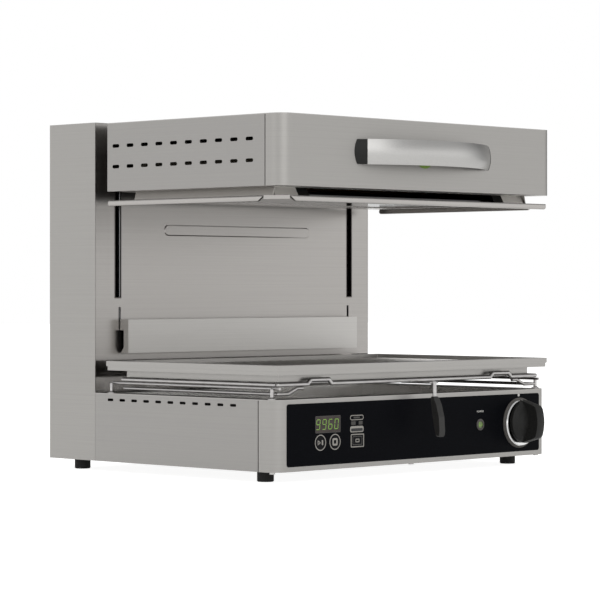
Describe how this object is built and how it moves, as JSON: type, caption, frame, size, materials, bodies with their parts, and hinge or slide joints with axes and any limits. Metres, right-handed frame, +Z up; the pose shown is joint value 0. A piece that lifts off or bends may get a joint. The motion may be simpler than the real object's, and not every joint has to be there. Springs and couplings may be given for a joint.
{
  "type": "salamander grill",
  "caption": "Salamander grill: a heated head slides up and down a rear column above a tray on a pull-out wire rack, with knob, keys and plate detector bar.",
  "frame": {"origin": "on the table, under the middle of the whole outline", "axes": "+X to the right, +Y to the rear, +Z up; the front with the controls faces -Y"},
  "size_m": [0.6, 0.564, 0.5206],
  "materials": {
    "steel": "satin stainless sheet",
    "bright_steel": "brighter satin stainless",
    "dark_steel": "darker inner steel",
    "wire_chrome": "bright chromed wire",
    "rubber": "matt black rubber",
    "panel_glass": "black printed glass",
    "window": "smoked display window",
    "key": "smooth black key",
    "lens": "green lamp lens",
    "black_plastic": "fine matt black plastic",
    "dial": "dark grey dial ring",
    "ceramic": "ceramic switch body",
    "board": "circuit board",
    "rod": "ground rod",
    "weight": "cast counterweight",
    "cable": "stranded steel cable",
    "heater_glass": "dark glass ceramic",
    "element": "heating tube",
    "wool": "pressed mineral wool",
    "badge": "plain badge",
    "bronze": "sintered bronze",
    "grid": "dark round bars"
  },
  "bodies": {
    "cabinet": {"feet": "rubber", "base_floor": "dark_steel", "base_fascia": "steel", "base_side_panels": "steel", "base_top": "bright_steel", "control_panel": "panel_glass", "display_window": "window", "lamp_bezel": "dial", "lamp_lens": "lens", "dial_ring": "dial", "dial_trim": "wire_chrome", "heat_regulator": "ceramic", "control_board": "board", "column_wrap": "steel", "column_front_panel": "steel", "recess_panel": "dark_steel", "rear_cover": "steel", "case_screws": "bright_steel", "cable_gland": "black_plastic", "guide_rods": "rod", "rod_beams": "dark_steel", "pulley_brackets": "dark_steel", "pulley_cables": "cable", "slot_liners": "rubber", "detector_switch": "black_plastic", "stand_legs": "wire_chrome", "stand_wires": "wire_chrome"},
    "head": {"head_fascia": "steel", "head_side_panels": "steel", "head_top": "steel", "head_rear_panel": "steel", "heat_box": "dark_steel", "guard_frame": "steel", "heater_glass": "heater_glass", "heating_elements": "element", "reflector": "bright_steel", "insulation": "wool", "head_handle": "bright_steel", "handle_ends": "black_plastic", "badge_disc": "badge", "lift_arms": "dark_steel", "carriage": "dark_steel", "rod_bushes": "bronze", "head_cables": "cable"},
    "counterweight": {"counterweight": "weight", "weight_cables": "cable"},
    "pulleys": {"lift_pulleys": "black_plastic"},
    "detector": {"detector_bar": "steel"},
    "rack": {"rack_rails": "wire_chrome", "rack_front_bar": "wire_chrome", "rack_cross_wires": "wire_chrome"},
    "grip": {"grip_strap": "bright_steel", "rack_grip": "black_plastic"},
    "tray": {"tray_pan": "steel", "tray_grid": "grid"},
    "knob": {"knob": "black_plastic", "knob_shaft": "rod"},
    "start_key": {"start_key": "key"},
    "stop_key": {"stop_key": "key"},
    "zone_key": {"zone_key": "key"}
  },
  "joints": [
    {"name": "head_lift", "type": "slide", "parent": "cabinet", "child": "head", "axis": [0, 0, 1], "range_m": [-0.16, 0], "deforming": ["head_cables"]},
    {"name": "weight_travel", "type": "slide", "parent": "cabinet", "child": "counterweight", "axis": [0, 0, 1], "range_m": [0, 0.16], "deforming": ["weight_cables"]},
    {"name": "pulley_turn", "type": "hinge", "parent": "cabinet", "child": "pulleys", "pos_m": [0, 0.1953, 0.4806], "axis": [1, 0, 0], "range_deg": [0, 460]},
    {"name": "detector_swing", "type": "hinge", "parent": "cabinet", "child": "detector", "pos_m": [0, 0.1603, 0.2225], "axis": [1, 0, 0], "range_deg": [0, 3], "stiffness_Nm_per_rad": 1, "springref_deg": -8.59},
    {"name": "rack_slide", "type": "slide", "parent": "cabinet", "child": "rack", "axis": [0, -1, 0], "range_m": [0, 0.2]},
    {"name": "tray_lift", "type": "slide", "parent": "rack", "child": "tray", "axis": [0, 0, 1], "range_m": [0, 0.05]},
    {"name": "grip_swing", "type": "hinge", "parent": "rack", "child": "grip", "pos_m": [0, -0.246, 0.1349], "axis": [-1, 0, 0], "range_deg": [0, 80]},
    {"name": "knob_turn", "type": "hinge", "parent": "cabinet", "child": "knob", "pos_m": [0.2301, -0.235, 0.0688], "axis": [0, 1, 0], "range_deg": [0, 270]},
    {"name": "start_press", "type": "slide", "parent": "cabinet", "child": "start_key", "axis": [0, 1, 0], "range_m": [0, 0.0008], "stiffness_N_per_m": 400, "springref_m": -0.0005},
    {"name": "stop_press", "type": "slide", "parent": "cabinet", "child": "stop_key", "axis": [0, 1, 0], "range_m": [0, 0.0008], "stiffness_N_per_m": 400, "springref_m": -0.0005},
    {"name": "zone_press", "type": "slide", "parent": "cabinet", "child": "zone_key", "axis": [0, 1, 0], "range_m": [0, 0.0008], "stiffness_N_per_m": 400, "springref_m": -0.0005}
  ],
  "couplings": [
    {"joint": "weight_travel", "follows": "head_lift", "ratio": -1},
    {"joint": "pulley_turn", "follows": "head_lift", "rad_per_m": -50}
  ]
}
